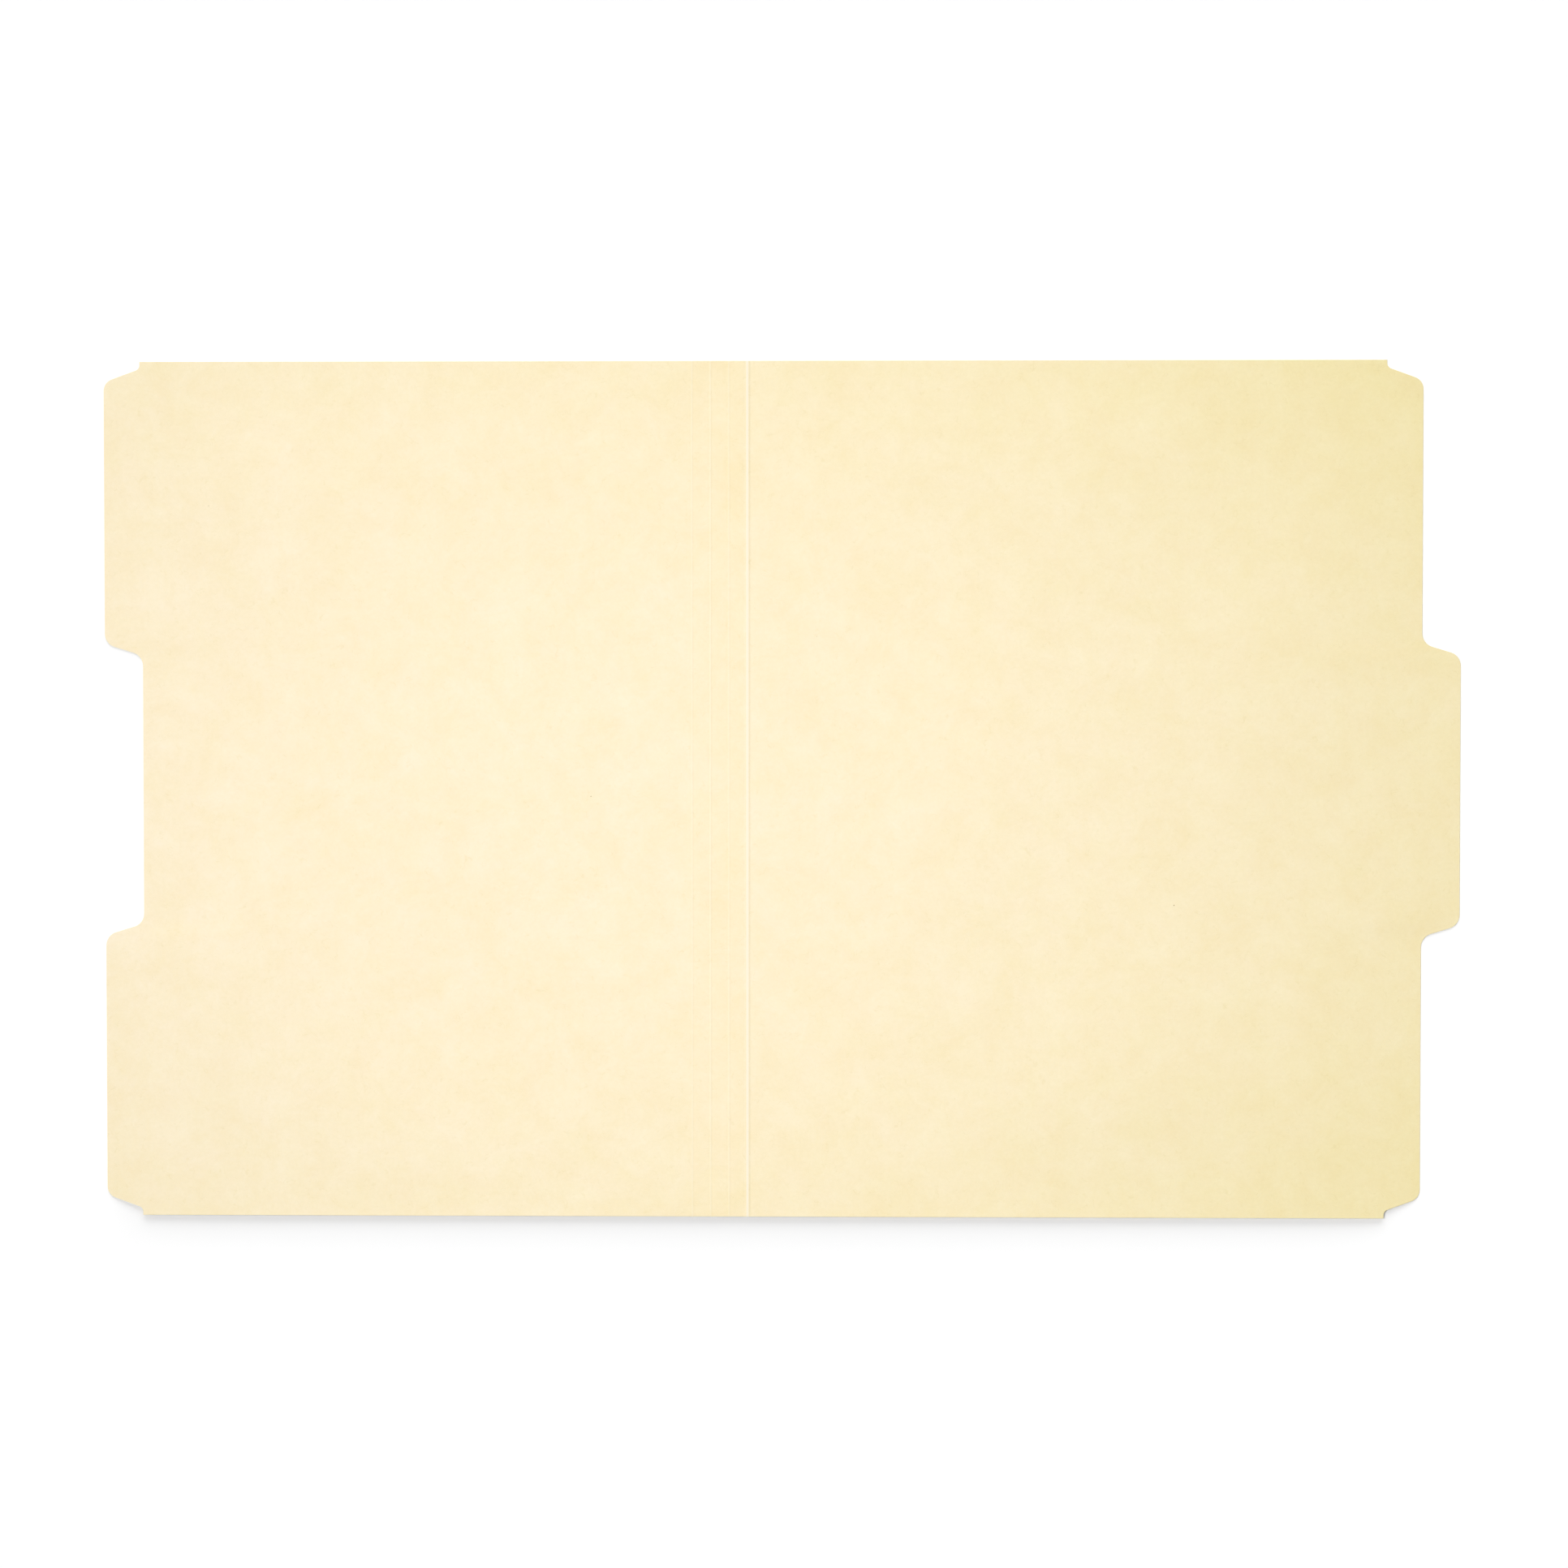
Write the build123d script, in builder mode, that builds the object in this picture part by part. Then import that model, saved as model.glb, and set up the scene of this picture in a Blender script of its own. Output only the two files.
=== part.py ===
from build123d import *
from math import radians, tan
import os

# Letter-size manila file folder, opened flat on a desk with its inside face up.
# It is one die-cut sheet: a back leaf, three narrow gusset strips and a front leaf, joined by pressed creases.
# Millimetres. X runs across the fold, Y along it and Z up from the desk.
# The origin is the middle of the main fold, on the desk. The back leaf lies on the +X side.

# Sheet: 11 point folder stock, and how far each leaf reaches from the main fold
stock = 0.28
fold_length = 295.3
back_reach = 231.8
front_reach = 222.25

# Third-cut tabs: a centre tab on the back leaf, and the matching recess between the front leaf's two tabs.
# The centre band is measured between the middles of its two slanted steps.
tab_depth = 13.2
centre_band = 96.8
step_slant = 17.0
step_radius = 4.8

# Corner nicks: each outer corner is cut back by a slanted S whose middle lies a setback inside the sheet's end
nick_depth = 12.4
nick_setback = 4.75
nick_slant = 20.0
nick_inner_radius = 2.0
nick_outer_radius = 4.2

# Expansion scores on the front side of the main fold
score_count = 3
score_pitch = 6.35

# Creases: a bead pressed up on the inside, over a shallow groove on the outside
main_bead_width = 1.3
main_bead_crown = 0.32
main_groove_depth = 0.1
score_bead_width = 0.8
score_bead_crown = 0.08
score_groove_depth = 0.05
crease_clearance = 0.03

# Each crease turns about a line in the inside face, and the edges beside it are coped round that line
crease_height = stock
half_fold = fold_length / 2
main_cope_radius = main_bead_width / 2 + crease_clearance
score_cope_radius = score_bead_width / 2 + crease_clearance


def die_cut_edge(side, reach, centre_step):
    """Corner points of a leaf's outer edge, from its upper end to its lower end.

    side is +1 for the back leaf and -1 for the front leaf, reach the distance from the main fold to the edge
    beside the corner nicks, and centre_step how far the centre band stands out beyond that edge.
    """
    nick_rise = nick_depth / 2 * tan(radians(nick_slant))
    step_rise = tab_depth / 2 * tan(radians(step_slant))
    nick_middle = half_fold - nick_setback
    step_middle = centre_band / 2
    upper = [
        (side * (reach - nick_depth), half_fold),
        (side * (reach - nick_depth), nick_middle + nick_rise),
        (side * reach, nick_middle - nick_rise),
        (side * reach, step_middle + step_rise),
        (side * (reach + centre_step), step_middle - step_rise),
    ]
    lower = [(x, -y) for x, y in reversed(upper)]
    return upper + lower


def leaf_outline(side, reach, centre_step, crease_x):
    """A leaf's flat outline: its die-cut edge, closed along the crease that carries it."""
    edge = die_cut_edge(side, reach, centre_step)
    upper_radii = [nick_inner_radius, nick_outer_radius, step_radius, step_radius]
    with BuildSketch() as outline:
        with BuildLine():
            FilletPolyline(*edge, radius=upper_radii + upper_radii[::-1])
            Polyline(edge[-1], (crease_x, -half_fold), (crease_x, half_fold), edge[0])
        make_face()
    return outline.sketch


def bead_section(crease_x, width, crown, groove_depth):
    """A crease bead's section: a round barrel in the board's depth, under a low crown."""
    left = (crease_x - width / 2, crease_height)
    right = (crease_x + width / 2, crease_height)
    with BuildSketch(Plane.XZ) as section:
        with Locations((crease_x, crease_height)):
            Circle(width / 2)
        with Locations((crease_x, groove_depth)):
            Rectangle(width, stock - groove_depth, align=(Align.CENTER, Align.MIN), mode=Mode.INTERSECT)
        with BuildLine():
            ThreePointArc(left, (crease_x, crease_height + crown), right)
            Line(right, left)
        make_face()
    return section.sketch


os.makedirs("parts", exist_ok=True)

# Back leaf, coped along the main fold
with BuildPart() as back_leaf:
    extrude(leaf_outline(1, back_reach, tab_depth, 0), amount=stock)
    with BuildSketch(Plane.XZ):
        with Locations((0, crease_height)):
            Circle(main_cope_radius)
    extrude(amount=fold_length, both=True, mode=Mode.SUBTRACT)
back_leaf.part.label = "back_leaf"
export_step(back_leaf.part, "parts/back_leaf.step")

# Bead of the main fold
with BuildPart() as main_fold_bead:
    section = bead_section(0, main_bead_width, main_bead_crown, main_groove_depth)
    extrude(section, amount=half_fold, both=True)
main_fold_bead.part.label = "main_fold_bead"
export_step(main_fold_bead.part, "parts/main_fold_bead.step")

# Gusset strips, numbered outwards from the main fold, each with the score bead on its far edge
for number in range(1, score_count + 1):
    near_x = -score_pitch * (number - 1)
    score_x = -score_pitch * number
    near_cope_radius = main_cope_radius if number == 1 else score_cope_radius

    with BuildPart() as gusset_strip:
        with BuildSketch(Plane.XZ):
            with Locations((near_x, 0)):
                Rectangle(score_pitch, stock, align=(Align.MAX, Align.MIN))
            with Locations((near_x, crease_height)):
                Circle(near_cope_radius, mode=Mode.SUBTRACT)
            with Locations((score_x, crease_height)):
                Circle(score_cope_radius, mode=Mode.SUBTRACT)
        extrude(amount=half_fold, both=True)
    gusset_strip.part.label = f"gusset_strip_{number}"
    export_step(gusset_strip.part, f"parts/gusset_strip_{number}.step")

    with BuildPart() as score_bead:
        section = bead_section(score_x, score_bead_width, score_bead_crown, score_groove_depth)
        extrude(section, amount=half_fold, both=True)
    score_bead.part.label = f"score_bead_{number}"
    export_step(score_bead.part, f"parts/score_bead_{number}.step")

# Front leaf, coped along the last score
front_crease_x = -score_pitch * score_count
with BuildPart() as front_leaf:
    extrude(leaf_outline(-1, front_reach, -tab_depth, front_crease_x), amount=stock)
    with BuildSketch(Plane.XZ):
        with Locations((front_crease_x, crease_height)):
            Circle(score_cope_radius)
    extrude(amount=fold_length, both=True, mode=Mode.SUBTRACT)
front_leaf.part.label = "front_leaf"
export_step(front_leaf.part, "parts/front_leaf.step")
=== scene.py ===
"""Manila folder, opened flat with its inside face up: the looks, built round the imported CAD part.

The folder is one die-cut sheet of cream board. Two leaves, three narrow gusset strips and four pressed
creases are each worked out as a closed numpy surface in the CAD part's own places. All of them wear one
procedural board, whose pattern is laid out on the flat sheet, so it runs on across the creases at every pose.
"""

import logging
import math
from dataclasses import dataclass, field
from enum import Enum
from typing import Any

import bpy
import numpy as np
from mathutils import Matrix, Vector
from numpy.typing import NDArray


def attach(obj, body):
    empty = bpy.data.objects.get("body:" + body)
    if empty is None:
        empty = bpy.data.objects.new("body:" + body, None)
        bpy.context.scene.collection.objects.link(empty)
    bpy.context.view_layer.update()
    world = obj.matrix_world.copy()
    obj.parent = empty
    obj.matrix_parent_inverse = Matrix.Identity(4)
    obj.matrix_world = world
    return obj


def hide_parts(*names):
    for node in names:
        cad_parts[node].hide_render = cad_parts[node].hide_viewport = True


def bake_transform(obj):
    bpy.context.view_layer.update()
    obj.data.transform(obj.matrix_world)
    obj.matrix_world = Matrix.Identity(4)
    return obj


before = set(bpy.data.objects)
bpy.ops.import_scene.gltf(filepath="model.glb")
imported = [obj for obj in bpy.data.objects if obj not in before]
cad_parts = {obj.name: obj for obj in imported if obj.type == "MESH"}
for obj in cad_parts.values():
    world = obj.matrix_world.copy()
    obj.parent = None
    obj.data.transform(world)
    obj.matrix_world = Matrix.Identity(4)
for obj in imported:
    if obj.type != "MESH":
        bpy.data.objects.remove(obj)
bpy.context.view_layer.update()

log = logging.getLogger("manila_folder")

Array = NDArray[np.float64]
Colour = tuple[float, float, float, float]

MM = 0.001


class Side(Enum):
    """Which side of the main fold a leaf lies on, as the sign of its X."""

    BACK = 1.0
    FRONT = -1.0


class SheetData(Enum):
    """Values that every piece of the sheet keeps at its points, for the board's material to read."""

    PLACE = "sheet_place"
    CRUSHED_HIGHLIGHT = "crushed_highlight"
    FOLD_SHADE = "fold_shade"
    BROKEN_AND_SHADED = "broken_and_shaded"


def linear_colour(hex_code: str) -> Colour:
    """Turns an sRGB hex value into a linear colour.

    Args:
        hex_code: a hash sign and six hex digits.

    Returns:
        Linear red, green and blue, and an alpha of 1.
    """
    level = np.frombuffer(bytes.fromhex(hex_code[1:]), dtype=np.uint8) / 255.0
    red, green, blue = np.where(level <= 0.04045, level / 12.92, ((level + 0.055) / 1.055) ** 2.4).tolist()
    return red, green, blue, 1.0


def add_node(
    tree: bpy.types.NodeTree,
    kind: str,
    settings: dict[str, Any] | None = None,
    feeds: dict[str | int, Any] | None = None,
) -> bpy.types.Node:
    """Adds a shader node, sets its options and fills its sockets.

    Args:
        tree: node tree of a material or the world.
        kind: Blender's type name of the node.
        settings: the node's options by attribute name.
        feeds: what goes into its sockets, by name or number. A value is set, and a node's output is linked.

    Returns:
        The new node.
    """
    node = tree.nodes.new(kind)
    for name, value in (settings or {}).items():
        setattr(node, name, value)
    for socket, value in (feeds or {}).items():
        if isinstance(value, bpy.types.NodeSocket):
            tree.links.new(value, node.inputs[socket])
        else:
            node.inputs[socket].default_value = value
    return node


def seen_directly(tree: bpy.types.NodeTree) -> bpy.types.NodeSocket:
    """Gives 1 for rays from the camera, a mirror or glass, and 0 for rays that carry light to other surfaces.

    Args:
        tree: node tree that gets the nodes.

    Returns:
        The output that holds the 1 or 0.
    """
    path = add_node(tree, "ShaderNodeLightPath").outputs
    glossy = add_node(
        tree,
        "ShaderNodeMath",
        {"operation": "MAXIMUM"},
        {0: path["Is Camera Ray"], 1: path["Is Glossy Ray"]},
    )
    through = add_node(
        tree,
        "ShaderNodeMath",
        {"operation": "MAXIMUM"},
        {0: glossy.outputs[0], 1: path["Is Transmission Ray"]},
    )
    return through.outputs[0]


def smooth_step(share: Array) -> Array:
    """Eases from 0 to 1: three times the share squared less twice its cube, flat at both ends.

    Args:
        share: any numbers, held between 0 and 1 first.

    Returns:
        The eased shares.
    """
    held = np.clip(share, 0.0, 1.0)
    return held * held * (3.0 - 2.0 * held)


def closed_shell(upper: Array, lower: Array) -> tuple[Array, NDArray[np.int64]]:
    """Closes an upper and a lower surface of one grid into a solid shell.

    Each row's upper points, followed by its lower points taken backwards, make a ring. Neighbouring rings
    are joined by quads. The first and last ring are closed by quads from each upper point to the one below
    it. A negative volume means that the quads face inwards, and then they are all turned round.

    Args:
        upper: points of the upper surface, rows by columns by 3.
        lower: points of the lower surface, on the same grid.

    Returns:
        The points in ring order, and the quads, facing outwards.
    """
    ring = np.concatenate([upper, lower[:, ::-1]], axis=1)
    rows, around = ring.shape[:2]
    number = np.arange(rows * around).reshape(rows, around)
    ahead = np.roll(number, -1, axis=1)
    sides = np.stack([number[:-1], ahead[:-1], ahead[1:], number[1:]], axis=-1)

    columns = around // 2
    top = number[[0, -1], :columns]
    under = number[[0, -1], ::-1][:, :columns]
    first = np.stack([top[0, 1:], top[0, :-1], under[0, :-1], under[0, 1:]], axis=-1)
    last = np.stack([top[1, :-1], top[1, 1:], under[1, 1:], under[1, :-1]], axis=-1)
    quads = np.concatenate([sides.reshape(-1, 4), first, last])

    points = ring.reshape(-1, 3)
    corner = points[quads]
    fans = np.cross(corner[:, 1], corner[:, 2]) + np.cross(corner[:, 2], corner[:, 3])
    volume = np.einsum("ij,ij->", corner[:, 0], fans)
    return points, quads if volume > 0 else quads[:, ::-1]


@dataclass(frozen=True)
class Patches:
    """Ragged patches in the pulp: a noise of several octaves, with part of its range drawn out to 0 and 1."""

    size_mm: float
    octaves: float = 4.0
    # How much of its strength each octave hands on to the next finer one
    gain: float = 0.5
    raggedness: float = 0.5
    span: tuple[float, float] = (0.35, 0.65)

    def shares(self, tree: bpy.types.NodeTree, place: bpy.types.NodeSocket) -> bpy.types.NodeSocket:
        """Adds the patches to a material.

        Args:
            tree: the material's node tree.
            place: place on the flat sheet.

        Returns:
            Shares from 0 to 1.
        """
        noise = add_node(
            tree,
            "ShaderNodeTexNoise",
            feeds={
                "Vector": place,
                "Scale": 1.0 / (self.size_mm * MM),
                "Detail": self.octaves,
                "Roughness": self.gain,
                "Distortion": self.raggedness,
            },
        )
        low, high = self.span
        return add_node(
            tree, "ShaderNodeMapRange", feeds={"Value": noise.outputs[0], 1: low, 2: high}
        ).outputs[0]


@dataclass(frozen=True)
class ManilaBoard:
    """Manila board: uncoated stock of wood pulp, dyed cream and pressed between rollers.

    To the eye it is matt and pale, with soft clouds where the pulp lies thicker or thinner, a blush and fine
    clumps among them, stray fibres and the odd dark speck of bark. Painted shade makes it yellower towards
    its margins.
    Painted shade makes the strips and scores a touch yellower, most beside the main fold, and a painted
    highlight makes the crests of the creases paler, where their fibres are also crushed. At its cut edges and
    the feet of its main crease it is darker, partly because the fibres' rough ends show and partly by painted
    shade.
    """

    name: str = "uncoated_manila_board"
    thick_pulp: str = "#FBEBC5"
    thin_pulp: str = "#FFF2D6"
    # Painted shade: a yellower tone towards the margins, where the light falls off
    margin_shade_tint: str = "#FCFCE2"
    blush_tint: str = "#FFFEFF"
    # Painted shade: the strips and scores turn a touch yellower, most beside the main fold
    fold_shade_tint: str = "#FFFEFB"
    clump_tint: str = "#FDFDFC"
    fibre_tint: str = "#FBFAF4"
    speck: str = "#BBA678"
    # Painted highlight: the creases' crests are paler, also where their fibres are crushed
    crushed_highlight: str = "#FCF2DA"
    # Painted shade: the cut edges and the main crease's feet are darker, also where their fibres are broken
    broken_and_shade_tint: str = "#DCCFB8"
    # The clouds run from their full size down to the fibres. Their share is 0 where the pulp lies thick.
    clouds: Patches = Patches(size_mm=19.0, octaves=7.0, gain=0.85, raggedness=0.25, span=(0.315, 0.685))
    blush: Patches = Patches(size_mm=11.0)
    clumps: Patches = Patches(size_mm=1.2)
    # Fibres lie where a noise crosses its level, and show where a second noise rises through its range
    fibre_mm: float = 3.0
    fibre_octaves: float = 1.0
    fibre_curl: float = 0.9
    fibre_level: float = 0.5
    # Real fibres are a tenth of this wide. Drawn so, they would be lost between the render's pixels.
    fibre_width: float = 0.022
    fibre_run_mm: float = 3.2
    fibre_run_range: tuple[float, float] = (0.55, 0.62)
    speck_cell_mm: float = 3.0
    speck_radius_mm: float = 0.3
    speck_share: float = 0.003
    tooth_mm: float = 0.5
    tooth_depth_mm: float = 0.0032
    cockle_mm: float = 9.0
    cockle_depth_mm: float = 0.016
    relief_octaves: float = 2.0
    roughness_low: float = 0.84
    roughness_high: float = 0.92
    # Without a coat there is little sheen
    sheen: float = 0.1
    refraction: float = 1.45
    # The painted shade at the margins comes on faster along the fold than across it
    unshaded_centre_mm: tuple[float, float] = (-152.0, -7.0)
    margin_reach_mm: float = 450.0
    margin_along: float = 1.79
    margin_power: float = 3.0

    def material(self) -> bpy.types.Material:
        """Makes the board's material.

        Returns:
            The material, which reads only what the pieces of the sheet keep at their points.
        """
        made = bpy.data.materials.new(self.name)
        made.use_nodes = True
        tree = made.node_tree
        tree.nodes.clear()
        place = add_node(
            tree, "ShaderNodeAttribute", {"attribute_name": SheetData.PLACE.value}
        ).outputs["Vector"]
        clouds = self.clouds.shares(tree, place)
        roughness = add_node(
            tree, "ShaderNodeMapRange", feeds={"Value": clouds, 3: self.roughness_low, 4: self.roughness_high}
        )
        shader = add_node(
            tree,
            "ShaderNodeBsdfPrincipled",
            feeds={
                "Base Color": self._colour(tree, place, clouds),
                "Roughness": roughness.outputs[0],
                "Normal": self._relief(tree, place),
                "IOR": self.refraction,
                "Specular IOR Level": self.sheen,
            },
        )
        add_node(tree, "ShaderNodeOutputMaterial", feeds={"Surface": shader.outputs[0]})
        return made

    def _fibres(self, tree: bpy.types.NodeTree, place: bpy.types.NodeSocket) -> bpy.types.NodeSocket:
        """Adds stray fibres: thin lines where a curling noise crosses a level, broken up by a second noise.

        Args:
            tree: the material's node tree.
            place: place on the flat sheet.

        Returns:
            1 on a fibre and 0 beside it.
        """
        curl = add_node(
            tree,
            "ShaderNodeTexNoise",
            feeds={
                "Vector": place,
                "Scale": 1.0 / (self.fibre_mm * MM),
                "Detail": self.fibre_octaves,
                "Distortion": self.fibre_curl,
            },
        )
        off_line = add_node(
            tree, "ShaderNodeMath", {"operation": "SUBTRACT"}, {0: curl.outputs[0], 1: self.fibre_level}
        )
        distance = add_node(tree, "ShaderNodeMath", {"operation": "ABSOLUTE"}, {0: off_line.outputs[0]})
        line = add_node(
            tree,
            "ShaderNodeMapRange",
            feeds={"Value": distance.outputs[0], 1: 0.0, 2: self.fibre_width, 3: 1.0, 4: 0.0},
        )
        runs = add_node(
            tree,
            "ShaderNodeTexNoise",
            feeds={"Vector": place, "Scale": 1.0 / (self.fibre_run_mm * MM), "Detail": 0.0},
        )
        low, high = self.fibre_run_range
        run = add_node(tree, "ShaderNodeMapRange", feeds={"Value": runs.outputs[0], 1: low, 2: high})
        return add_node(
            tree, "ShaderNodeMath", {"operation": "MULTIPLY"}, {0: line.outputs[0], 1: run.outputs[0]}
        ).outputs[0]

    def _specks(self, tree: bpy.types.NodeTree, place: bpy.types.NodeSocket) -> bpy.types.NodeSocket:
        """Adds specks of bark: a few cells of a random field hold a round grain, which the face cuts through.

        Args:
            tree: the material's node tree.
            place: place on the flat sheet.

        Returns:
            1 on a speck and 0 beside it.
        """
        cells = add_node(
            tree, "ShaderNodeTexVoronoi", feeds={"Vector": place, "Scale": 1.0 / (self.speck_cell_mm * MM)}
        )
        chance = add_node(tree, "ShaderNodeSeparateColor", feeds={0: cells.outputs["Color"]})
        radius = add_node(
            tree,
            "ShaderNodeMapRange",
            feeds={
                "Value": chance.outputs[0],
                1: 1.0 - self.speck_share,
                2: 1.0,
                3: 0.0,
                4: self.speck_radius_mm / self.speck_cell_mm,
            },
        )
        return add_node(
            tree,
            "ShaderNodeMath",
            {"operation": "LESS_THAN"},
            {0: cells.outputs["Distance"], 1: radius.outputs[0]},
        ).outputs[0]

    def _margin_shade(self, tree: bpy.types.NodeTree, place: bpy.types.NodeSocket) -> bpy.types.NodeSocket:
        """Adds painted shade towards the margins: a power of an oval distance from the unshaded centre.

        Args:
            tree: the material's node tree.
            place: place on the flat sheet.

        Returns:
            0 at the unshaded centre, 1 at the margin's reach and beyond.
        """
        x, y = self.unshaded_centre_mm
        away = add_node(
            tree,
            "ShaderNodeVectorMath",
            {"operation": "MULTIPLY_ADD"},
            {0: place, 1: (1.0, self.margin_along, 0.0), 2: (-x * MM, -self.margin_along * y * MM, 0.0)},
        )
        distance = add_node(tree, "ShaderNodeVectorMath", {"operation": "LENGTH"}, {0: away.outputs[0]})
        share = add_node(
            tree,
            "ShaderNodeMath",
            {"operation": "DIVIDE"},
            {0: distance.outputs["Value"], 1: self.margin_reach_mm * MM},
        )
        return add_node(
            tree,
            "ShaderNodeMath",
            {"operation": "POWER", "use_clamp": True},
            {0: share.outputs[0], 1: self.margin_power},
        ).outputs[0]

    def _colour(
        self, tree: bpy.types.NodeTree, place: bpy.types.NodeSocket, clouds: bpy.types.NodeSocket
    ) -> bpy.types.NodeSocket:
        """Lays the board's colours over each other, from the clouded pulp to the shaded, broken edges.

        Args:
            tree: the material's node tree.
            place: place on the flat sheet.
            clouds: shares of thin pulp.

        Returns:
            The finished colour.
        """
        fold_shade = add_node(tree, "ShaderNodeAttribute", {"attribute_name": SheetData.FOLD_SHADE.value})
        crushed_highlight = add_node(tree, "ShaderNodeAttribute", {"attribute_name": SheetData.CRUSHED_HIGHLIGHT.value})
        broken_and_shaded = add_node(tree, "ShaderNodeAttribute", {"attribute_name": SheetData.BROKEN_AND_SHADED.value})
        coats = (
            ("MIX", clouds, self.thin_pulp),
            ("MULTIPLY", self.blush.shares(tree, place), self.blush_tint),
            ("MULTIPLY", self.clumps.shares(tree, place), self.clump_tint),
            # Painted shade towards the margins
            ("MULTIPLY", self._margin_shade(tree, place), self.margin_shade_tint),
            # Painted shade on the strips and scores
            ("MULTIPLY", fold_shade.outputs["Fac"], self.fold_shade_tint),
            ("MULTIPLY", self._fibres(tree, place), self.fibre_tint),
            # Painted highlight along the crests, also crushed fibres
            ("MIX", crushed_highlight.outputs["Fac"], self.crushed_highlight),
            ("MIX", self._specks(tree, place), self.speck),
            # Painted shade at the cut edges and crease feet, also broken fibres
            ("MULTIPLY", broken_and_shaded.outputs["Fac"], self.broken_and_shade_tint),
        )
        colour: Any = linear_colour(self.thick_pulp)
        for blend, share, hex_code in coats:
            coat = add_node(
                tree,
                "ShaderNodeMix",
                {"data_type": "RGBA", "blend_type": blend},
                {0: share, 6: colour, 7: linear_colour(hex_code)},
            )
            colour = coat.outputs[2]
        return colour

    def _relief(self, tree: bpy.types.NodeTree, place: bpy.types.NodeSocket) -> bpy.types.NodeSocket:
        """Adds the board's shallow relief: wide cockles from drying, and the tooth that the rollers left.

        Args:
            tree: the material's node tree.
            place: place on the flat sheet.

        Returns:
            The roughened normal.
        """
        cockle = (self.cockle_mm, self.cockle_depth_mm)
        tooth = (self.tooth_mm, self.tooth_depth_mm)
        normal = None
        for size_mm, depth_mm in (cockle, tooth):
            noise = add_node(
                tree,
                "ShaderNodeTexNoise",
                feeds={"Vector": place, "Scale": 1.0 / (size_mm * MM), "Detail": self.relief_octaves},
            )
            feeds: dict[str | int, Any] = {"Height": noise.outputs[0], "Distance": depth_mm * MM}
            if normal is not None:
                feeds["Normal"] = normal
            normal = add_node(tree, "ShaderNodeBump", feeds=feeds).outputs[0]
        return normal


@dataclass(frozen=True)
class WhiteSweep:
    """White studio sweep: matt seamless paper, which fades into the background and still takes a soft shadow.

    The lamps' pool of light fades away from the folder. What they leave dark, the paper's own glow makes up
    for the camera, so the sweep reads as white wherever the folder doesn't shade it.
    """

    name: str = "white_sweep_paper"
    colour: str = "#F7F7F7"
    pool_centre_mm: tuple[float, float] = (-41.0, 15.0)
    pool_reach_mm: float = 675.0
    pool_share: float = 0.625
    full_glow: float = 0.672

    def material(self) -> bpy.types.Material:
        """Makes the sweep's material: a full glow, less a bell curve of the distance from the pool's centre.

        Returns:
            The material.
        """
        made = bpy.data.materials.new(self.name)
        made.use_nodes = True
        tree = made.node_tree
        tree.nodes.clear()
        x, y = self.pool_centre_mm
        reach = self.pool_reach_mm * MM
        place = add_node(tree, "ShaderNodeTexCoord").outputs["Object"]
        scaled = add_node(
            tree,
            "ShaderNodeVectorMath",
            {"operation": "MULTIPLY_ADD"},
            {0: place, 1: (1.0 / reach, 1.0 / reach, 0.0), 2: (-x * MM / reach, -y * MM / reach, 0.0)},
        )
        square = add_node(
            tree,
            "ShaderNodeVectorMath",
            {"operation": "DOT_PRODUCT"},
            {0: scaled.outputs[0], 1: scaled.outputs[0]},
        )
        fade = add_node(
            tree,
            "ShaderNodeMath",
            {"operation": "POWER"},
            {0: 1.0 / math.e, 1: square.outputs["Value"]},
        )
        glow = add_node(
            tree,
            "ShaderNodeMath",
            {"operation": "MULTIPLY_ADD"},
            {0: fade.outputs[0], 1: -self.pool_share, 2: self.full_glow},
        )
        strength = add_node(
            tree, "ShaderNodeMath", {"operation": "MULTIPLY"}, {0: glow.outputs[0], 1: seen_directly(tree)}
        )
        paper = add_node(tree, "ShaderNodeBsdfDiffuse", feeds={"Color": linear_colour(self.colour)})
        light = add_node(tree, "ShaderNodeEmission", feeds={"Strength": strength.outputs[0]})
        both = add_node(tree, "ShaderNodeAddShader", feeds={0: paper.outputs[0], 1: light.outputs[0]})
        add_node(tree, "ShaderNodeOutputMaterial", feeds={"Surface": both.outputs[0]})
        return made


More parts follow.
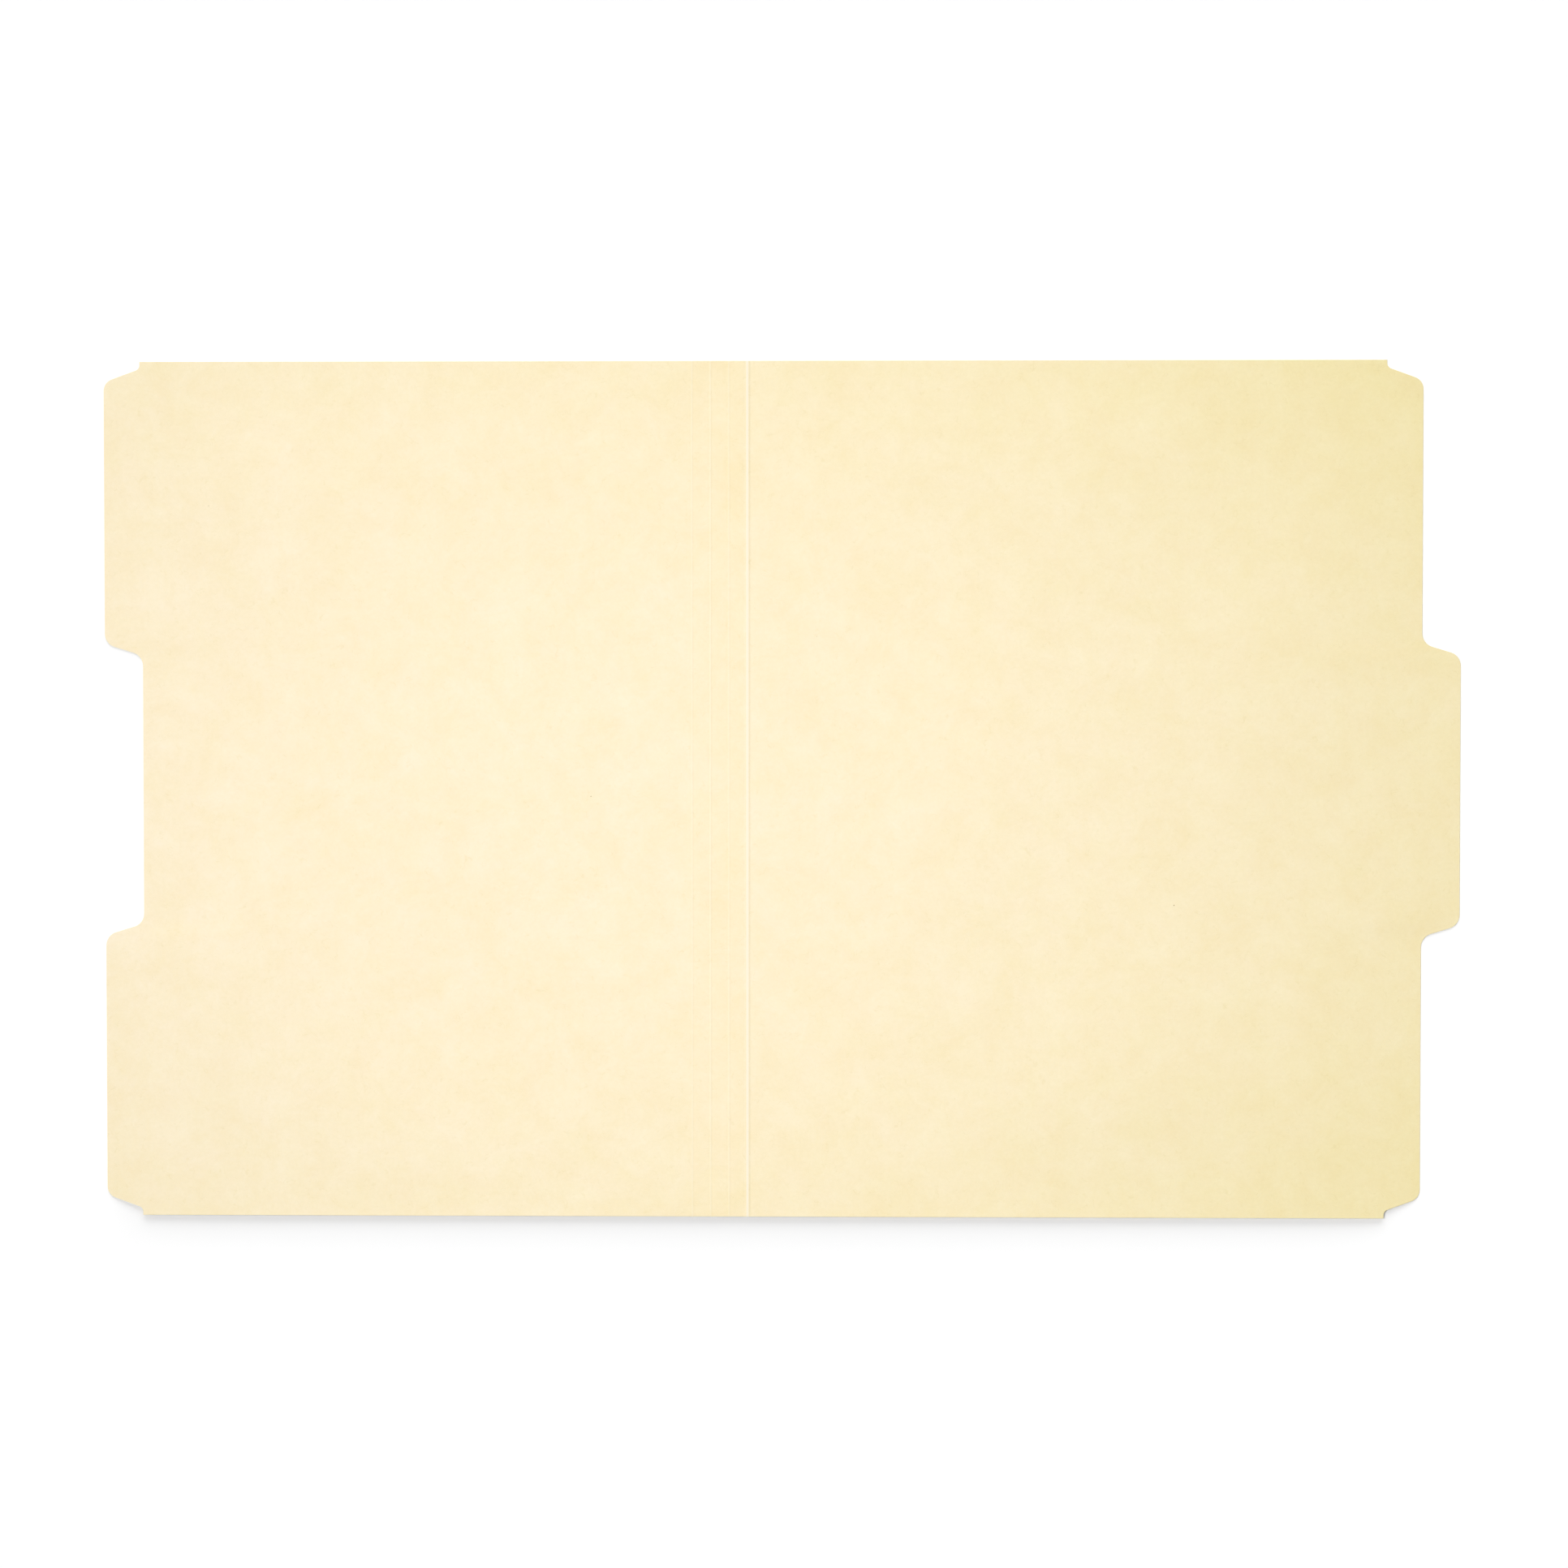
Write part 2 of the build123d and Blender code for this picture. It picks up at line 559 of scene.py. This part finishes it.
@dataclass(frozen=True)
class Sheet:
    """The board that all the panels and creases are cut from, in millimetres."""

    thickness: float = 0.28
    half_fold: float = 147.65
    # A die leaves the cut edge a little rounded over. The rows that round the sheet's ends lie this many
    # radii inside them, and the last of these rows is flat.
    cut_round: float = 0.03
    end_insets: tuple[float, ...] = (0.0, 0.3, 1.0, 2.0)
    # Inner rows keep this far off the rows of the ends, and are set to this many decimals
    row_gap: float = 0.25
    row_decimals: int = 2
    # Faces that meet at a larger angle are shaded with a sharp edge between them
    sharp_degrees: float = 40.0
    # The outside face takes its pattern from another layer of the pulp, this far below the inside face
    outside_layer: float = 50.0

    def end_rows(self) -> Array:
        """Gives the rows that round the sheet's two ends, from the lower end's to the upper end's."""
        upper = self.half_fold - self.cut_round * np.array(self.end_insets)
        return np.concatenate([-upper, upper[::-1]])

    def rows(self, inner: Array) -> Array:
        """Sets rows between those that round the two ends.

        Args:
            inner: places along the fold, in any order.

        Returns:
            All rows in rising order, without those that are the same after rounding.
        """
        lower_end, upper_end = np.split(self.end_rows(), 2)
        inside = inner[np.abs(inner) < upper_end[0] - self.row_gap]
        kept = np.unique(np.round(inside, self.row_decimals))
        return np.concatenate([lower_end, kept, upper_end])

    def half_depth(self, rows: Array) -> Array:
        """Half the board's thickness at each row: less at the ends, by what a quarter circle leaves out.

        Args:
            rows: places along the fold.

        Returns:
            Half thicknesses.
        """
        radius = self.cut_round
        inset = np.clip(self.half_fold - np.abs(rows), 0.0, radius)
        return self.thickness / 2 - radius + np.sqrt(radius * radius - (radius - inset) ** 2)

    def piece(
        self,
        name: str,
        upper: Array,
        lower: Array,
        crushed_highlight: Array | float = 0.0,
        broken_and_shaded: Array | float = 0.0,
        fold_shade: float = 0.0,
    ) -> bpy.types.Object:
        """Makes a piece of the sheet from its inside and outside surface.

        A point belongs to a cut edge as far as the rounding thins the board there, as a share of its radius.

        Args:
            name: the piece's name.
            upper: points of the inside face in millimetres, rows by columns by 3.
            lower: points of the outside face on the same grid.
            crushed_highlight: painted highlight and crushed fibres, from 0 to 1, by column or for the whole
                piece.
            broken_and_shaded: painted shade and broken fibres, likewise. The cut edges get them in any case.
            fold_shade: how far painted shade darkens the piece towards the main fold, from 0 to 1.

        Returns:
            The object, at the origin, with its place in its mesh.
        """
        points, quads = closed_shell(upper, lower)
        mesh = bpy.data.meshes.new(name)
        mesh.from_pydata(points * MM, [], quads)
        mesh.shade_smooth()
        mesh.set_sharp_from_angle(angle=math.radians(self.sharp_degrees))

        rows, columns = upper.shape[:2]
        layer = np.repeat([0.0, self.outside_layer], columns)
        place = points.reshape(rows, 2 * columns, 3).copy()
        place[..., 2] = layer
        thinned = self.thickness / 2 - (upper[..., 2] - lower[..., 2]) / 2
        cut = np.clip(thinned / self.cut_round, 0.0, 1.0)
        worn = (
            (SheetData.CRUSHED_HIGHLIGHT, np.broadcast_to(crushed_highlight, (rows, columns))),
            (SheetData.BROKEN_AND_SHADED, np.maximum(cut, broken_and_shaded)),
            (SheetData.FOLD_SHADE, np.full((rows, columns), fold_shade)),
        )
        data = [(SheetData.PLACE, "FLOAT_VECTOR", "vector", place * MM)]
        for entry, shares in worn:
            data.append((entry, "FLOAT", "value", np.concatenate([shares, shares[:, ::-1]], axis=1)))
        for entry, kind, slot, values in data:
            attribute = mesh.attributes.new(entry.value, kind, "POINT")
            attribute.data.foreach_set(slot, np.ascontiguousarray(values, dtype=np.float32).ravel())

        made = bpy.data.objects.new(name, mesh)
        bpy.context.scene.collection.objects.link(made)
        return made

    def dress(self, piece: bpy.types.Object, board: bpy.types.Material, node: str) -> None:
        """Gives a piece the board's material and puts it in place of its CAD node.

        Args:
            piece: a piece of the sheet.
            board: the board's material.
            node: name of the CAD node.
        """
        piece.data.materials.append(board)
        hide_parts(node)
        log.info("%s: %d faces, stands for %s", piece.name, len(piece.data.polygons), node)


@dataclass(frozen=True)
class Leaf:
    """A leaf: its die-cut edge with corner nicks and a stepped centre band, and the ripple it lies in."""

    sheet: Sheet
    side: Side
    name: str
    node: str
    body: str
    # Where the leaf leaves its crease, and how far it reaches from the main fold
    start: float
    reach: float
    # How far the centre band stands out from the rest of the edge, or below 0 how far it stands back
    centre_step: float
    centre_band: float = 96.8
    step_slant: float = 17.0
    step_radius: float = 4.8
    nick_depth: float = 12.4
    nick_setback: float = 4.75
    nick_slant: float = 20.0
    nick_inner_radius: float = 2.0
    nick_outer_radius: float = 4.2
    grid: float = 5.0
    arc_steps: int = 9
    # The even columns stop this far inside the cut edge, which is rounded over in so many steps
    edge_margin: float = 0.5
    round_steps: int = 5
    ripple: float = 0.35
    # The ripple rises over the first distance from the crease, and over the second one from the other edges
    ripple_start: float = 70.0
    ripple_end: float = 45.0
    ripple_waves: tuple[tuple[float, float], ...] = ((163.0, 211.0), (-97.0, 241.0), (301.0, -131.0))

    def edge_corners(self) -> Array:
        """Gives the corner points of the die-cut edge before rounding, from the upper end to the lower one.

        A slanted run rises on both sides of its middle by half its depth times the tangent of its slant.

        Returns:
            Corner points, as distance from the main fold and place along it.
        """
        nick_rise = self.nick_depth / 2 * math.tan(math.radians(self.nick_slant))
        step_rise = abs(self.centre_step) / 2 * math.tan(math.radians(self.step_slant))
        nick_middle = self.sheet.half_fold - self.nick_setback
        step_middle = self.centre_band / 2
        upper = np.array(
            [
                (self.reach - self.nick_depth, self.sheet.half_fold),
                (self.reach - self.nick_depth, nick_middle + nick_rise),
                (self.reach, nick_middle - nick_rise),
                (self.reach, step_middle + step_rise),
                (self.reach + self.centre_step, step_middle - step_rise),
            ]
        )
        return np.concatenate([upper, upper[::-1] * (1.0, -1.0)])

    def edge(self) -> Array:
        """Rounds the die-cut edge.

        At each corner the two runs are cut back by the radius over the tangent of half their angle, and the
        arc between them swings evenly about the centre that lies on their bisector.

        Returns:
            Points of the edge in the same form and order as its corners.
        """
        corner = self.edge_corners()
        upper = np.array([self.nick_inner_radius, self.nick_outer_radius, self.step_radius, self.step_radius])
        radius = np.concatenate([upper, upper[::-1]])[:, None]
        before = corner[:-2] - corner[1:-1]
        after = corner[2:] - corner[1:-1]
        before = before / np.linalg.norm(before, axis=1, keepdims=True)
        after = after / np.linalg.norm(after, axis=1, keepdims=True)
        angle = np.arccos(np.sum(before * after, axis=1, keepdims=True))
        bisector = before + after
        bisector = bisector / np.linalg.norm(bisector, axis=1, keepdims=True)
        centre = corner[1:-1] + bisector * radius / np.sin(angle / 2)
        cut_back = radius / np.tan(angle / 2)
        first = corner[1:-1] + before * cut_back - centre
        last = corner[1:-1] + after * cut_back - centre
        turn = np.pi - angle[:, :, None]
        share = np.linspace(0.0, 1.0, self.arc_steps)[None, :, None]
        swing = np.sin((1 - share) * turn) * first[:, None] + np.sin(share * turn) * last[:, None]
        arcs = centre[:, None] + swing / np.sin(turn)
        return np.concatenate([corner[:1], arcs.reshape(-1, 2), corner[-1:]])

    def lift(self, away: Array, along: Array, width: Array) -> Array:
        """How far the leaf ripples up off the desk.

        A few long slanting waves are averaged, lifted to run from 0 to 1, and eased in from the crease and
        from the other edges.

        Args:
            away: distance from the crease.
            along: place along the fold.
            width: the row's width, from the crease to the cut edge.

        Returns:
            Heights from 0 up to the ripple.
        """
        across_waves, along_waves = np.array(self.ripple_waves).T
        phase = away[..., None] / across_waves + along[..., None] / along_waves
        swell = 0.5 + 0.5 * np.mean(np.sin(2 * np.pi * phase), axis=-1)
        from_crease = smooth_step(away / self.ripple_start)
        from_edge = smooth_step((width - away) / self.ripple_end)
        from_end = smooth_step((self.sheet.half_fold - np.abs(along)) / self.ripple_end)
        return self.ripple * swell * from_crease * from_edge * from_end

    def surfaces(self) -> tuple[Array, Array]:
        """Works out the leaf's two faces, in rows along the fold and columns from the crease to the edge.

        Columns share out each row's width evenly, then close up before the cut edge and go round it on a
        quarter circle. The outside face mirrors the inside one in the middle of the board, and both ripple
        together.

        Returns:
            Points of the inside and of the outside face.
        """
        sheet = self.sheet
        edge = self.edge()
        steps = int(2 * sheet.half_fold / self.grid)
        rows = sheet.rows(np.concatenate([edge[:, 1], np.linspace(-sheet.half_fold, sheet.half_fold, steps)]))
        width = np.interp(rows, edge[::-1, 1], edge[::-1, 0])[:, None] - self.start

        radius = sheet.cut_round
        last_flat = radius * sheet.end_insets[-1]
        even = np.linspace(0.0, 1.0, int(self.reach / self.grid))
        turn = np.linspace(0.0, np.pi / 2, self.round_steps)
        share = np.concatenate([even, np.ones(1 + turn.size)])
        flat = np.append(np.full(even.size, self.edge_margin), last_flat)
        inset = np.concatenate([flat, radius - radius * np.sin(turn)])
        depth_cut = np.concatenate([np.zeros(flat.size), radius - radius * np.cos(turn)])
        away = share * width - inset * share

        height = np.broadcast_to(sheet.half_depth(rows)[:, None] - depth_cut, away.shape)
        along = np.broadcast_to(rows[:, None], away.shape)
        middle = sheet.thickness / 2 + self.lift(away, along, width)
        across = self.side.value * (self.start + away)
        return np.stack([across, along, middle + height], -1), np.stack([across, along, middle - height], -1)

    def build(self, board: bpy.types.Material) -> None:
        """Makes the leaf, dresses it and hangs it on its body.

        Args:
            board: the board's material.
        """
        piece = self.sheet.piece(self.name, *self.surfaces())
        self.sheet.dress(piece, board, self.node)
        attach(piece, self.body)


@dataclass(frozen=True)
class GussetStrip:
    """A flat strip between two creases, a little darkened by painted shade."""

    sheet: Sheet
    name: str
    node: str
    body: str
    # X of its long sides, the one nearer to the main fold first
    near: float
    far: float
    fold_shade: float
    columns: int = 5
    inner_rows: int = 13

    def build(self, board: bpy.types.Material) -> None:
        """Makes the strip as a flat slab with rounded ends, dresses it and hangs it on its body.

        Args:
            board: the board's material.
        """
        rows = self.sheet.rows(np.linspace(-self.sheet.half_fold, self.sheet.half_fold, self.inner_rows))
        along, across = np.meshgrid(rows, np.linspace(self.near, self.far, self.columns), indexing="ij")
        height = np.broadcast_to(self.sheet.half_depth(rows)[:, None], along.shape)
        middle = self.sheet.thickness / 2
        upper = np.stack([across, along, middle + height], -1)
        lower = np.stack([across, along, middle - height], -1)
        piece = self.sheet.piece(self.name, upper, lower, fold_shade=self.fold_shade)
        self.sheet.dress(piece, board, self.node)
        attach(piece, self.body)


@dataclass(frozen=True)
class Crease:
    """A pressed crease: a low ridge inside over a shallow groove outside."""

    sheet: Sheet
    name: str
    node: str
    # Bodies on the back leaf's side and on the front leaf's side
    bodies: tuple[str, str]
    across: float
    half_width: float
    # The ridge is level over its crest and slopes down to its feet
    crest_half_width: float
    ridge_half_width: float
    crown: float
    groove: float
    bend_half_width: float
    # How far the crest is painted paler, as highlight and crushed fibres, over which width, and how it eases
    # out
    crushed_highlight: float
    highlight_half_width: float
    highlight_ease: float
    # How far painted shade and broken fibres darken the ridge's feet, how far off the crease line, over which
    # width
    broken_and_shaded: float = 0.0
    foot_away: float = 0.8
    foot_half_width: float = 0.38
    fold_shade: float = 0.0
    columns: int = 33
    row_step: float = 3.0
    waver: float = 0.1
    waver_waves: tuple[float, ...] = (7.3, 17.9, 41.0)

    def ridge(self, offset: Array) -> Array:
        """The ridge's section: 1 over its crest, eased down to 0 at both feet.

        Args:
            offset: distance from the crease line.

        Returns:
            Heights as shares of the crown.
        """
        slope_width = self.ridge_half_width - self.crest_half_width
        return smooth_step((self.ridge_half_width - np.abs(offset)) / slope_width)

    def crush_highlight(self, offset: Array) -> Array:
        """Where the crest is painted paler, as highlight and crushed fibres: over its middle, eased out on
        both sides.

        Args:
            offset: distance from the crease line.

        Returns:
            Shares of the crease's painted highlight, from 0 to 1.
        """
        return smooth_step((self.highlight_half_width + self.highlight_ease - np.abs(offset)) / self.highlight_ease)

    def feet(self, offset: Array) -> Array:
        """Where painted shade and broken fibres darken the face: along both feet of the ridge, eased out to
        each side.

        Args:
            offset: distance from the crease line.

        Returns:
            Shares of the crease's painted shade and breaking, from 0 to 1.
        """
        return smooth_step(1.0 - np.abs(np.abs(offset) - self.foot_away) / self.foot_half_width)

    def build(self, board: bpy.types.Material) -> None:
        """Carries the ridge's section along the fold and dresses it.

        Along the fold the crown wavers by a few slow waves added together, as a pressed line does.

        Args:
            board: the board's material.
        """
        sheet = self.sheet
        steps = int(2 * sheet.half_fold / self.row_step)
        rows = sheet.rows(np.linspace(-sheet.half_fold, sheet.half_fold, steps))
        offset = np.linspace(-self.half_width, self.half_width, self.columns)
        share = self.ridge(offset)[None, :]
        waves = np.mean(np.sin(2 * np.pi * rows[:, None] / np.array(self.waver_waves)), axis=1)
        swell = (1.0 + self.waver * waves)[:, None]

        along = np.broadcast_to(rows[:, None], (rows.size, offset.size))
        across = np.broadcast_to(self.across + offset, along.shape)
        height = np.broadcast_to(sheet.half_depth(rows)[:, None], along.shape)
        middle = sheet.thickness / 2
        upper = np.stack([across, along, middle + height + self.crown * swell * share], -1)
        lower = np.stack([across, along, middle - height + self.groove * swell * share], -1)
        crushed_highlight = self.crushed_highlight * self.crush_highlight(offset)
        broken_and_shaded = self.broken_and_shaded * self.feet(offset)
        piece = sheet.piece(self.name, upper, lower, crushed_highlight, broken_and_shaded, self.fold_shade)
        sheet.dress(piece, board, self.node)
        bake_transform(piece)


@dataclass(frozen=True)
class PhotoCamera:
    """A long lens almost straight over the folder, leaning a little to its upper end and to its back leaf."""

    focal: float = 85.0
    sensor: float = 36.0
    distance: float = 1277.0
    aim: tuple[float, float] = (12.65, 2.10)
    lean_up: float = 1.57
    lean_right: float = 1.19
    # Nothing closer or farther than this is drawn
    nearest: float = 10.0
    farthest: float = 100000.0

    def place(self) -> None:
        """Makes the camera and looks through it: from the aim it stands back along the two leaning angles."""
        data = bpy.data.cameras.new("photo_camera")
        data.lens = self.focal
        data.sensor_width = self.sensor
        data.clip_start = self.nearest * MM
        data.clip_end = self.farthest * MM
        up_angle = math.radians(self.lean_up)
        right_angle = math.radians(self.lean_right)
        back = Vector(
            (
                math.sin(right_angle) * math.cos(up_angle),
                math.sin(up_angle),
                math.cos(right_angle) * math.cos(up_angle),
            )
        )
        right = Vector((0.0, 1.0, 0.0)).cross(back).normalized()
        turn = Matrix((right, back.cross(right), back)).transposed()
        camera = bpy.data.objects.new("photo_camera", data)
        camera.matrix_world = turn.to_4x4()
        camera.location = Vector((*self.aim, 0.0)) * MM + back * self.distance * MM
        bpy.context.scene.collection.objects.link(camera)
        bpy.context.scene.camera = camera


@dataclass(frozen=True)
class Studio:
    """The plain stage: a white sweep, a soft key lamp high on the left and a low light at the upper end."""

    sweep: WhiteSweep = field(default_factory=WhiteSweep)
    # The sweep is hollow under the folder's lower end, so that end stands clear of it and shades it.
    # Along the fold the hollow goes down between the first two places and comes up between the last two.
    hollow: float = 2.0
    hollow_down: tuple[float, float] = (-118.0, -161.0)
    hollow_up: tuple[float, float] = (-165.0, -265.0)
    hollow_middle: float = 4.8
    hollow_half_width: float = 227.0
    hollow_power: float = 24.0
    down_rows: int = 24
    up_rows: int = 12
    hollow_columns: int = 81
    # The level part of the sweep lies this far below the folder
    gap: float = 0.02
    sweep_reach: float = 12000.0
    key_place: tuple[float, float, float] = (-500.0, 83.0, 1500.0)
    key_aim: tuple[float, float, float] = (97.0, -6.0, 0.0)
    key_size: float = 500.0
    key_spread: float = 77.0
    key_watts: float = 3.24
    # The low light is a sun lamp, which shines the same from wherever it hangs
    low_place: tuple[float, float, float] = (0.0, 2000.0, 1000.0)
    low_elevation: float = 18.0
    low_breadth: float = 60.0
    low_strength: float = 3.005
    room_colour: str = "#FFFFFF"
    room_light: float = 0.08

    def build(self) -> None:
        """Sets up the sweep, the lamps and the room's own light."""
        self._lay_sweep()
        self._hang_lamps()
        self._light_room()

    def _lay_sweep(self) -> None:
        """Lays the sweep: level, but for the hollow under the folder's lower end.

        The hollow's depth is an eased step down and up again along the fold, times 1 less a high power of the
        distance from the folder's middle, as a share of its half width.
        """
        down = np.linspace(*self.hollow_down, self.down_rows)
        up = np.linspace(*self.hollow_up, self.up_rows)
        half_width = self.hollow_half_width
        inside = self.hollow_middle + np.linspace(-half_width, half_width, self.hollow_columns)
        rows = np.concatenate([[self.sweep_reach], down, up, [-self.sweep_reach]])
        columns = np.concatenate([[-self.sweep_reach], inside, [self.sweep_reach]])
        along, across = np.meshgrid(rows, columns, indexing="ij")
        sunk = smooth_step((along - down[0]) / (down[-1] - down[0]))
        risen = smooth_step((along - up[0]) / (up[-1] - up[0]))
        off_middle = np.clip(np.abs(across - self.hollow_middle) / half_width, 0.0, 1.0)
        height = -self.gap - self.hollow * (sunk - risen) * (1.0 - off_middle**self.hollow_power)

        number = np.arange(along.size).reshape(along.shape)
        quads = np.stack([number[:-1, :-1], number[1:, :-1], number[1:, 1:], number[:-1, 1:]], axis=-1)
        points = np.stack([across, along, height], axis=-1)
        mesh = bpy.data.meshes.new("studio_sweep")
        mesh.from_pydata(points.reshape(-1, 3) * MM, [], quads.reshape(-1, 4))
        mesh.shade_smooth()
        mesh.materials.append(self.sweep.material())
        floor = bpy.data.objects.new("studio_sweep", mesh)
        bpy.context.scene.collection.objects.link(floor)

    def _hang_lamps(self) -> None:
        """Hangs the key lamp and aims it at the folder, and sets the low light at the folder's upper end."""
        key = bpy.data.lights.new("soft_key", "AREA")
        key.shape = "DISK"
        key.size = self.key_size * MM
        key.spread = math.radians(self.key_spread)
        key.energy = self.key_watts
        low = bpy.data.lights.new("low_soft_light", "SUN")
        low.angle = math.radians(self.low_breadth)
        low.energy = self.low_strength
        slope = math.radians(self.low_elevation)
        ways = (
            (key, Vector(self.key_place) * MM, Vector(self.key_aim) - Vector(self.key_place)),
            (low, Vector(self.low_place) * MM, Vector((0.0, -math.cos(slope), -math.sin(slope)))),
        )
        for lamp, place, way in ways:
            hung = bpy.data.objects.new(lamp.name, lamp)
            hung.location = place
            hung.rotation_euler = way.to_track_quat("-Z", "Y").to_euler()
            bpy.context.scene.collection.objects.link(hung)

    def _light_room(self) -> None:
        """Fills the room with a little even light, and shows it white behind the sweep."""
        world = bpy.data.worlds.new("white_room")
        world.use_nodes = True
        tree = world.node_tree
        tree.nodes.clear()
        strength = add_node(
            tree,
            "ShaderNodeMath",
            {"operation": "MULTIPLY_ADD"},
            {0: seen_directly(tree), 1: 1.0 - self.room_light, 2: self.room_light},
        )
        room = add_node(
            tree, "ShaderNodeBackground", feeds={0: linear_colour(self.room_colour), 1: strength.outputs[0]}
        )
        add_node(tree, "ShaderNodeOutputWorld", feeds={"Surface": room.outputs[0]})
        bpy.context.scene.world = world


@dataclass(frozen=True)
class ManilaFolder:
    """The whole folder: two leaves, and between them the main fold with its three scores and strips."""

    sheet: Sheet = field(default_factory=Sheet)
    back_reach: float = 231.8
    front_reach: float = 222.25
    tab_depth: float = 13.2
    score_pitch: float = 6.35
    main_half_width: float = 1.2
    score_half_width: float = 0.6
    # Painted shade on the strips and scores is deepest beside the main fold
    strip_fold_shade: tuple[float, ...] = (1.0, 0.8, 0.5)

    def leaves(self) -> list[Leaf]:
        """Lays out the leaves.

        Returns:
            The back leaf, from the main fold on, and the front leaf, from the last score on.
        """
        last_score = self.score_pitch * len(self.strip_fold_shade)
        back = Leaf(
            sheet=self.sheet,
            side=Side.BACK,
            name="back_leaf_board",
            node="back_leaf",
            body="back",
            start=self.main_half_width,
            reach=self.back_reach,
            centre_step=self.tab_depth,
        )
        front = Leaf(
            sheet=self.sheet,
            side=Side.FRONT,
            name="front_leaf_board",
            node="front_leaf",
            body="front",
            start=last_score + self.score_half_width,
            reach=self.front_reach,
            centre_step=-self.tab_depth,
            ripple_waves=((191.0, -223.0), (-113.0, 187.0), (271.0, 149.0)),
        )
        return [back, front]

    def strips(self) -> list[GussetStrip]:
        """Lays out the gusset strips between the creases.

        Returns:
            The strips, numbered outwards from the main fold.
        """
        made: list[GussetStrip] = []
        for number, fold_shade in enumerate(self.strip_fold_shade, start=1):
            near_width = self.main_half_width if number == 1 else self.score_half_width
            strip = GussetStrip(
                sheet=self.sheet,
                name=f"gusset_strip_{number}_board",
                node=f"gusset_strip_{number}",
                body=f"strip_{number}",
                near=-self.score_pitch * (number - 1) - near_width,
                far=-self.score_pitch * number + self.score_half_width,
                fold_shade=fold_shade,
            )
            made.append(strip)
        return made

    def creases(self) -> list[Crease]:
        """Lays out the creases.

        Returns:
            The main fold's crease, and those of the three scores, numbered outwards from it.
        """
        main_fold = Crease(
            sheet=self.sheet,
            name="main_fold_crease",
            node="main_fold_bead",
            bodies=("back", "strip_1"),
            across=0.0,
            half_width=self.main_half_width,
            crest_half_width=0.4,
            ridge_half_width=1.15,
            crown=0.12,
            groove=0.1,
            bend_half_width=0.55,
            crushed_highlight=1.0,
            highlight_half_width=0.26,
            highlight_ease=0.22,
            broken_and_shaded=0.1,
        )
        bodies = ("strip_1", "strip_2", "strip_3", "front")
        scores = [
            Crease(
                sheet=self.sheet,
                name=f"score_{number}_crease",
                node=f"score_bead_{number}",
                bodies=bodies[number - 1 : number + 1],
                across=-self.score_pitch * number,
                half_width=self.score_half_width,
                crest_half_width=0.1,
                ridge_half_width=0.55,
                crown=0.06,
                groove=0.05,
                bend_half_width=0.4,
                crushed_highlight=0.3,
                highlight_half_width=0.1,
                highlight_ease=0.22,
                fold_shade=fold_shade,
            )
            for number, fold_shade in enumerate(self.strip_fold_shade, start=1)
        ]
        return [main_fold, *scores]

    def build(self, board: bpy.types.Material) -> None:
        """Builds every piece in the order that the sheet runs.

        Args:
            board: the board's material.
        """
        for panel in [*self.leaves(), *self.strips(), *self.creases()]:
            panel.build(board)


def main() -> None:
    """Builds the folder, the stage and the camera."""
    logging.basicConfig(level=logging.INFO, format="%(name)s: %(message)s")
    ManilaFolder().build(ManilaBoard().material())
    Studio().build()
    PhotoCamera().place()
    bpy.context.scene.view_settings.view_transform = "Standard"


if __name__ == "__main__":
    main()
